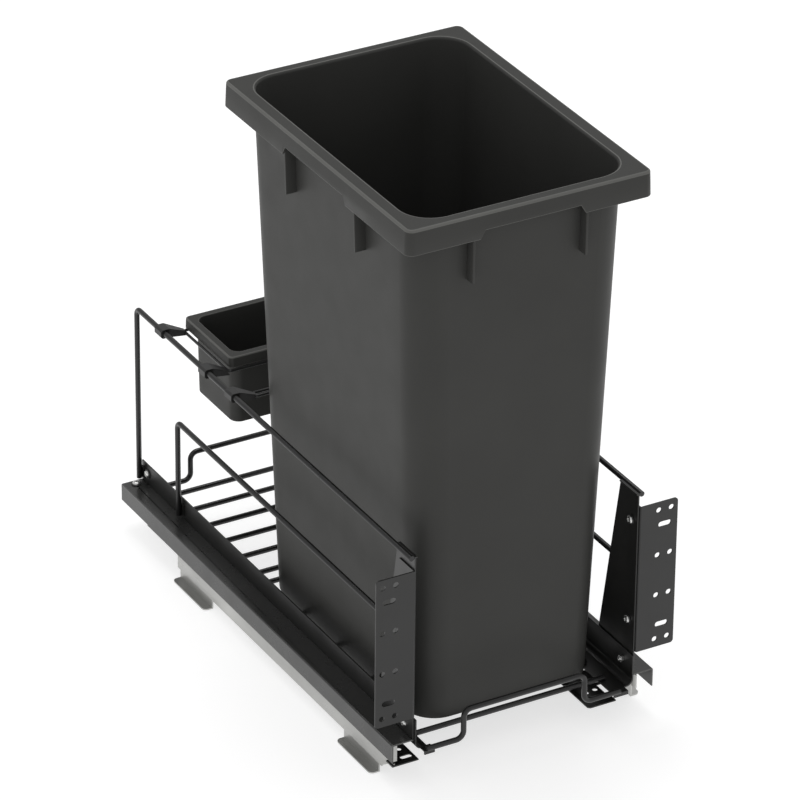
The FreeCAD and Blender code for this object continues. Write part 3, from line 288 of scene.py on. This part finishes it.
class Section:
    """A rounded rectangle at a height, with marked places along its straight sides."""

    def __init__(self, half, front, rear, corner, across_marks, along_marks, middle=0.0):
        self.half, self.front, self.rear, self.corner, self.middle = half, front, rear, corner, middle
        self.across_marks, self.along_marks = across_marks, along_marks

    def shrunk(self, inset):
        corner = max(self.corner - inset, LEAST_CORNER)
        return Section(self.half - inset, self.front + inset, self.rear - inset, corner,
                       self.across_marks, self.along_marks, self.middle)

    def towards(self, other, share):
        def between(one, two):
            return one + (two - one) * share
        return Section(between(self.half, other.half), between(self.front, other.front),
                       between(self.rear, other.rear), between(self.corner, other.corner),
                       self.across_marks, self.along_marks, between(self.middle, other.middle))

    def points(self):
        """Points round the section, each with the side it is on."""
        left, right = self.middle - self.half, self.middle + self.half
        inner_left, inner_right = left + self.corner, right - self.corner
        near, far = self.front + self.corner, self.rear - self.corner
        across = self.placed(self.across_marks, inner_left, inner_right)
        along = self.placed(self.along_marks, near, far)
        # each side, and the centre and first angle of the corner that follows it
        sides = (
            (FRONT, [(x, self.front) for x in across], inner_right, near, -90),
            (RIGHT, [(right, y) for y in along], inner_right, far, 0),
            (REAR, [(x, self.rear) for x in reversed(across)], inner_left, far, 90),
            (LEFT, [(left, y) for y in reversed(along)], inner_left, near, 180),
        )
        found = []
        for side, straight, x, y, start in sides:
            found += [(*point, side) for point in straight]
            for step in range(ARC_STEPS + 1):
                angle = math.radians(start + 90 * step / ARC_STEPS)
                found.append((x + self.corner * math.cos(angle), y + self.corner * math.sin(angle), CORNER))
        return found

    @staticmethod
    def placed(marks, low, high):
        """The marks, kept in order between low and high."""
        found = []
        for number, mark in enumerate(marks):
            least = low + MARK_CLEARANCE * (number + 1)
            most = high - MARK_CLEARANCE * (len(marks) - number)
            found.append(min(max(mark, least), most))
        return found


ROUND_STEPS = 4  # in each rounding along a bin's edges
OUTER_SHARES = (0.15, 0.35, 0.55, 0.75, 0.9)  # heights of rings on the outside, between bottom and top
INNER_SHARES = (0.85, 0.6, 0.35, 0.12)
ROOT_DROP, ROOT_SPREAD = 1.0 * MM, 0.8 * MM  # where the body runs out into the rim
SKIRT_INNER_BEVEL = 0.4 * MM
SKIRT_EDGE = ((0.5 * MM, 0.0), (0.12 * MM, 0.2 * MM), (0.0, 0.6 * MM))  # inset and height up the skirt
PLAIN_STRIP = 0.3 * MM  # of the rim's top beside each rounding
HIGHLIGHTED_LIP_RINGS = 2  # only the lip's upper edge takes the painted highlight


def quarter(steps):
    """Points along a quarter round, as shares of its radius: one goes from 0 to 1, the other from 1 to 0."""
    angles = [math.radians(90 * step / steps) for step in range(steps + 1)]
    return [(1 - math.cos(angle), 1 - math.sin(angle)) for angle in angles]


def bin_piece(name, node, body, sections, heights, wall, foot_round, rim_round, lip, flare,
              grip=None, fins=()):
    """A thin-walled tapered bin with a turned-down rim, as one closed skin."""
    foot, mouth, rim = sections
    bottom, rim_low, top = heights
    work = bmesh.new()
    rings = []
    highlighted = []

    def ring(section, height, lifted=0.0, edge=False):
        made = []
        for x, y, side in section.points():
            lift = lifted * grip(x, y, side) if grip else 0.0
            made.append(work.verts.new((x, y, height + lift)))
        rings.append(made)
        # marked rings take the edge finish, a painted highlight
        highlighted.append(edge)

    def body_at(height):
        return foot.towards(mouth, (height - bottom) / (top - bottom))

    # up the outside of the body
    for rising, falling in quarter(ROUND_STEPS):
        ring(foot.shrunk(foot_round * falling), bottom + foot_round * rising)
    for share in OUTER_SHARES:
        height = bottom + (top - bottom) * share
        ring(body_at(height), height)
    under = top - wall
    ring(body_at(under - ROOT_DROP), under - ROOT_DROP)
    ring(body_at(under).shrunk(-ROOT_SPREAD), under)
    # out under the rim, round its lower edge and up to its top
    low_rim = rim.shrunk(-flare)
    ring(rim.shrunk(wall), under)
    ring(low_rim.shrunk(wall), rim_low + SKIRT_INNER_BEVEL, 1.0)
    ring(low_rim.shrunk(wall - SKIRT_INNER_BEVEL), rim_low, 1.0)
    # the skirt's lower edge, the rim's top rounding and the lip's upper edge are painted lighter as a
    # highlight
    for inset, rise in SKIRT_EDGE:
        ring(low_rim.shrunk(inset), rim_low + rise, 1.0, edge=True)
    ring(low_rim.towards(rim, 0.5), (rim_low + top) / 2)
    for rising, falling in quarter(ROUND_STEPS + 1):
        ring(rim.shrunk(rim_round * rising), top - rim_round * falling, edge=True)
    # over the lip and down the inside
    inner_mouth = mouth.shrunk(wall)
    ring(rim.shrunk(rim_round + PLAIN_STRIP), top)
    ring(inner_mouth.shrunk(-lip - PLAIN_STRIP), top)
    for step, (rising, falling) in enumerate(quarter(ROUND_STEPS)):
        ring(inner_mouth.shrunk(-lip * falling), top - lip * rising, edge=step < HIGHLIGHTED_LIP_RINGS)
    floor = bottom + wall
    inner_foot = foot.shrunk(wall)
    for share in INNER_SHARES:
        height = floor + (top - floor) * share
        ring(inner_foot.towards(inner_mouth, share), height)
    for rising, falling in quarter(ROUND_STEPS):
        ring(inner_foot.shrunk(foot_round * rising), floor + foot_round * falling)
    closed(work, rings, highlighted)
    for corners in fins:
        add_fin(work, corners)
    add_piece(name, work, "bin_plastic", node, body)


FIN_THICKNESS = 2.6 * MM
FIN_ROUNDING = 0.5 * MM
FIN_ROOT = 1.2 * MM  # how far a fin reaches into the wall


def add_fin(work, corners):
    """A flat plate through the corners, thickened both ways, with rounded edges."""
    normal = (corners[1] - corners[0]).cross(corners[2] - corners[1]).normalized()
    across = normal * FIN_THICKNESS / 2
    near = [work.verts.new(corner - across) for corner in corners]
    far = [work.verts.new(corner + across) for corner in corners]
    faces = bridge(work, [near, far])
    faces.append(work.faces.new(list(reversed(near))))
    faces.append(work.faces.new(far))
    edges = list({edge for face in faces for edge in face.edges})
    bmesh.ops.bevel(work, geom=edges, offset=FIN_ROUNDING, segments=2, profile=0.5, affect="EDGES")


def trapezoid(value, start, end, slope):
    """1 between start and end, falling to 0 over the slope at each end, inside them."""
    return min(max(min(value - start, end - value) / slope, 0.0), 1.0)


def between_ends(low, high, count):
    """Evenly spaced places that divide low to high into count parts, without the ends."""
    return [low + (high - low) * number / count for number in range(1, count)]


def large_bin():
    """The tall bin, with a hand grip on each side of its rim and two fins under each."""
    low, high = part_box("large_bin")
    bottom, top = low.z, high.z
    door_plane = cad_box[0].y + 11.25 * MM
    flare = 0.9 * MM
    half = high.x - flare
    rim_front, rim_rear = low.y + flare, high.y - flare
    front_grip = (-54.0 * MM, 57.0 * MM)
    side_grip = (door_plane + 124.0 * MM, door_plane + 244.0 * MM)
    grip_rise, grip_slope = 8.5 * MM, 5.1 * MM

    def marks(start, end, grip):
        """Evenly spaced places along a side, and the four bends of its grip."""
        bends = [grip[0], grip[0] + grip_slope, grip[1] - grip_slope, grip[1]]
        return sorted(between_ends(start, end, 6) + bends)

    across = marks(-half, half, front_grip)
    along = marks(rim_front, rim_rear, side_grip)
    rim = Section(half, rim_front, rim_rear, 7.5 * MM, across, along)
    mouth = Section(half=115.0 * MM, front=door_plane + 19.4 * MM, rear=door_plane + 351.6 * MM,
                    corner=33.0 * MM, across_marks=across, along_marks=along)
    foot = Section(half=97.0 * MM, front=door_plane + 25.3 * MM, rear=door_plane + 330.0 * MM,
                   corner=32.0 * MM, across_marks=across, along_marks=along, middle=-2.5 * MM)

    def grip_lift(x, y, side):
        """How far the skirt's lower edge is raised at a point of the rim."""
        if side in (FRONT, REAR):
            return grip_rise * trapezoid(x, *front_grip, grip_slope)
        if side in (RIGHT, LEFT):
            return grip_rise * trapezoid(y, *side_grip, grip_slope)
        return 0.0

    rim_height = 25.6 * MM
    fin_low, fin_high = 513.0 * MM, top - rim_height / 2
    fin_depth, rear_fin_depth = 11.0 * MM, 9.0 * MM
    fins = []

    def wall_at(height, at_foot, at_mouth):
        return at_foot + (at_mouth - at_foot) * (height - bottom) / (top - bottom)

    def fin(place, at_foot, at_mouth, depth):
        """Lists a fin; place turns a distance across the wall and a height into a point."""
        root = -math.copysign(FIN_ROOT, depth)
        low_wall, high_wall = wall_at(fin_low, at_foot, at_mouth), wall_at(fin_high, at_foot, at_mouth)
        fins.append([place(low_wall + root, fin_low), place(low_wall + depth, fin_low),
                     place(high_wall + depth, fin_high), place(high_wall + root, fin_high)])

    for fin_x in (-59.5 * MM, 59.5 * MM):
        def on_end_wall(y, z, x=fin_x):
            return Vector((x, y, z))
        fin(on_end_wall, foot.front, mouth.front, -fin_depth)
        fin(on_end_wall, foot.rear, mouth.rear, rear_fin_depth)
    for fin_y in (door_plane + 115.0 * MM, door_plane + 247.0 * MM):
        def on_side_wall(x, z, y=fin_y):
            return Vector((x, y, z))
        fin(on_side_wall, foot.middle - foot.half, -mouth.half, -fin_depth)
        fin(on_side_wall, foot.middle + foot.half, mouth.half, fin_depth)
    bin_piece("tall_bin_shell", "large_bin", "tall_bin", (foot, mouth, rim), (bottom, top - rim_height, top),
              wall=2.4 * MM, foot_round=1.2 * MM, rim_round=2.4 * MM, lip=3.0 * MM, flare=flare,
              grip=grip_lift, fins=fins)


def caddy_bin():
    """The small bin, with a plain rim that hangs in its wire ring."""
    low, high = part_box("caddy_bin")
    flare = 0.3 * MM
    half, front, rear = high.x - flare, low.y + flare, high.y - flare
    across = between_ends(-half, half, 5)
    along = between_ends(front, rear, 4)
    ledge, taper, rim_height = 6.5 * MM, 1.6 * MM, 11.4 * MM
    rim = Section(half, front, rear, 5.0 * MM, across, along)
    mouth = Section(half - ledge, front + ledge, rear - ledge, 12.0 * MM, across, along)
    foot = mouth.shrunk(taper)
    bin_piece("caddy_bin_shell", "caddy_bin", "small_bin", (foot, mouth, rim),
              (low.z, high.z - rim_height, high.z), wall=2.0 * MM, foot_round=1.5 * MM,
              rim_round=1.5 * MM, lip=0.9 * MM, flare=flare)


large_bin()
caddy_bin()


# ---------------------------------------------------------------- screws
HEAD_RINGS = 16
HEAD_STEPS = 64
HEAD_SIDE = 0.25  # share of the head's height that is straight
HEAD_CROWN = 2.6  # how square the head's crown is
RECESS_DEPTH = 0.7  # share of the head's height
# the driver's cross, as shares of the head's radius: half length and half width of an arm, and their slopes
ARM_LENGTH, ARM_WIDTH, END_SLOPE, SIDE_SLOPE = 0.52, 0.13, 0.12, 0.08
SHANK_RADIUS = 2.0 * MM
THREAD_PITCH = 0.8 * MM
THREAD_ROOT = 0.86  # share of the shank's radius
TIP_RINGS = ((0.3, 0.0), (0.8, 0.3 * MM))  # share of the shank's radius, and distance from the tip
FIRST_TURN = 0.5 * MM  # from the tip
PLAIN_SHANK = 0.2 * MM
NEAR_RIM = 0.98  # a point farther out than this share of the head's radius is on its rim


def islands(node):
    """The points of each separate solid of a CAD node."""
    work = bmesh.new()
    work.from_mesh(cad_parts[node].data)
    bmesh.ops.remove_doubles(work, verts=work.verts, dist=WELD_DISTANCE)
    left = set(work.verts)
    found = []
    while left:
        stack, members = [left.pop()], []
        while stack:
            vertex = stack.pop()
            members.append(vertex.co.copy())
            for edge in vertex.link_edges:
                other = edge.other_vert(vertex)
                if other in left:
                    left.discard(other)
                    stack.append(other)
        found.append(members)
    work.free()
    return found


def screw_frame(points):
    """The seat, the head's direction, the head's radius and height, and the shank's length."""
    low = Vector([min(point[axis] for point in points) for axis in range(3)])
    high = Vector([max(point[axis] for point in points) for axis in range(3)])
    size = high - low
    centre = (low + high) / 2
    diameter = sorted(size)[1]
    radius = diameter / 2
    axis = max(range(3), key=lambda number: abs(size[number] - diameter))
    around = [number for number in range(3) if number != axis]
    head_rim = [point[axis] for point in points
                if math.hypot(*(point[number] - centre[number] for number in around)) > radius * NEAR_RIM]
    outward = 1 if sum(head_rim) / len(head_rim) > centre[axis] else -1
    direction = Vector([0, 0, 0])
    direction[axis] = outward
    seat = centre.copy()
    seat[axis] = min(head_rim) if outward > 0 else max(head_rim)
    crown, tip = (high[axis], low[axis]) if outward > 0 else (low[axis], high[axis])
    return seat, direction, radius, abs(crown - seat[axis]), abs(seat[axis] - tip)


def cross_recess(x, y, radius):
    """How deep the driver's cross is at a point of the head, from 0 to 1."""
    depth = 0.0
    for along, across in ((x, y), (y, x)):
        inside = min((ARM_LENGTH * radius - abs(along)) / (END_SLOPE * radius),
                     (ARM_WIDTH * radius - abs(across)) / (SIDE_SLOPE * radius))
        depth = max(depth, min(max(inside, 0.0), 1.0))
    return depth


def add_screw(work, seat, direction, radius, height, length):
    """A pan head with a cross recess and a threaded shank."""
    turn = direction.to_track_quat("Z", "Y").to_matrix().to_4x4()
    turn.translation = seat
    rings = []

    def ring(distance, level, recess=0.0):
        made = []
        for step in range(HEAD_STEPS):
            angle = 2 * math.pi * step / HEAD_STEPS
            x, y = distance * math.cos(angle), distance * math.sin(angle)
            drop = recess * cross_recess(x, y, radius)
            made.append(work.verts.new(turn @ Vector((x, y, level - drop))))
        rings.append(made)

    for share, rise in TIP_RINGS:
        ring(share * SHANK_RADIUS, -length + rise)
    level = -length + FIRST_TURN
    while level < -THREAD_PITCH:
        ring(SHANK_RADIUS, level)
        ring(SHANK_RADIUS * THREAD_ROOT, level + THREAD_PITCH / 2)
        level += THREAD_PITCH
    ring(SHANK_RADIUS, -PLAIN_SHANK)
    ring(SHANK_RADIUS, 0.0)
    ring(radius, 0.0)
    side = height * HEAD_SIDE
    ring(radius, side)
    for number in range(HEAD_RINGS):
        share = 1 - number / HEAD_RINGS
        rise = math.sqrt(max(1 - share ** HEAD_CROWN, 0.0))
        ring(radius * share * 0.999, side + (height - side) * rise, height * RECESS_DEPTH)
    closed(work, rings)


for node in ("bolts", "rear_screws"):
    work = bmesh.new()
    for points in islands(node):
        add_screw(work, *screw_frame(points))
    add_piece(f"{node}_detailed", work, "screw_steel", node, "drawer")


# ---------------------------------------------------------------- floor, light and camera
FLOOR_REACH = 30.0
FLOOR_GAP = 0.0002  # below the feet
FLOOR_GLOW = 0.68  # brings the floor's light parts up to the photograph's white
WORLD_STRENGTH = 0.64
LIT_POINT = Vector((0, 0, 0.3))
SEEN_POINT = Vector((-0.0191, -0.0627, 0.2828))
CAMERA_DISTANCE = 5.4092
CAMERA_LENS = 255.1
# from the front to the right, upwards, and the picture's turn
AZIMUTH, ELEVATION, ROLL = math.radians(-29.73), math.radians(29.19), math.radians(0.59)


def stage_floor():
    """A wide pale floor under the feet."""
    work = bmesh.new()
    corners = ((-1, -1), (1, -1), (1, 1), (-1, 1))
    work.faces.new([work.verts.new((x * FLOOR_REACH, y * FLOOR_REACH, cad_box[0].z - FLOOR_GAP))
                    for x, y in corners])
    mesh = bpy.data.meshes.new("floor")
    work.to_mesh(mesh)
    work.free()
    floor = bpy.data.objects.new("floor", mesh)
    bpy.context.scene.collection.objects.link(floor)
    look = Nodes("floor_white")
    look.shader.inputs["Roughness"].default_value = 0.9
    look.shader.inputs["Specular IOR Level"].default_value = 0.1
    cloud = look.ranged(look.noise(0.7, 2.0), 0.0, 1.0)
    look.link(look.mixed(cloud, (0.50, 0.50, 0.50), (0.52, 0.52, 0.52)), look.shader.inputs["Base Color"])
    look.shader.inputs["Emission Color"].default_value = (1, 1, 1, 1)
    look.shader.inputs["Emission Strength"].default_value = FLOOR_GLOW
    mesh.materials.append(look.material)


def area_light(name, place, side, power):
    """A square soft light turned to the object."""
    lamp = bpy.data.lights.new(name, "AREA")
    lamp.shape = "RECTANGLE"
    lamp.size = lamp.size_y = side
    lamp.energy = power
    light = bpy.data.objects.new(name, lamp)
    bpy.context.scene.collection.objects.link(light)
    light.location = place
    light.rotation_mode = "QUATERNION"
    light.rotation_quaternion = (LIT_POINT - Vector(place)).to_track_quat("-Z", "Y")


def studio():
    world = bpy.data.worlds.new("studio")
    bpy.context.scene.world = world
    world.use_nodes = True
    background = world.node_tree.nodes["Background"]
    background.inputs["Color"].default_value = (1, 1, 1, 1)
    background.inputs["Strength"].default_value = WORLD_STRENGTH
    area_light("key_left", (-2.6, -0.6, 2.2), side=1.6, power=0.7)
    area_light("top", (0.2, 0.6, 2.8), side=1.2, power=20)
    bpy.context.scene.view_settings.view_transform = "Standard"
    bpy.context.scene.view_settings.look = "None"


def camera():
    """The photograph's camera."""
    data = bpy.data.cameras.new("camera")
    data.lens = CAMERA_LENS
    data.sensor_width = 36.0
    data.clip_start, data.clip_end = 0.1, 100.0
    viewer = bpy.data.objects.new("camera", data)
    bpy.context.scene.collection.objects.link(viewer)
    back = Vector((math.sin(AZIMUTH) * math.cos(ELEVATION), -math.cos(AZIMUTH) * math.cos(ELEVATION),
                   math.sin(ELEVATION)))
    viewer.location = SEEN_POINT + back * CAMERA_DISTANCE
    viewer.rotation_mode = "QUATERNION"
    viewer.rotation_quaternion = (-back).to_track_quat("-Z", "Y") @ Quaternion((0, 0, 1), ROLL)
    bpy.context.scene.camera = viewer


stage_floor()
studio()
camera()
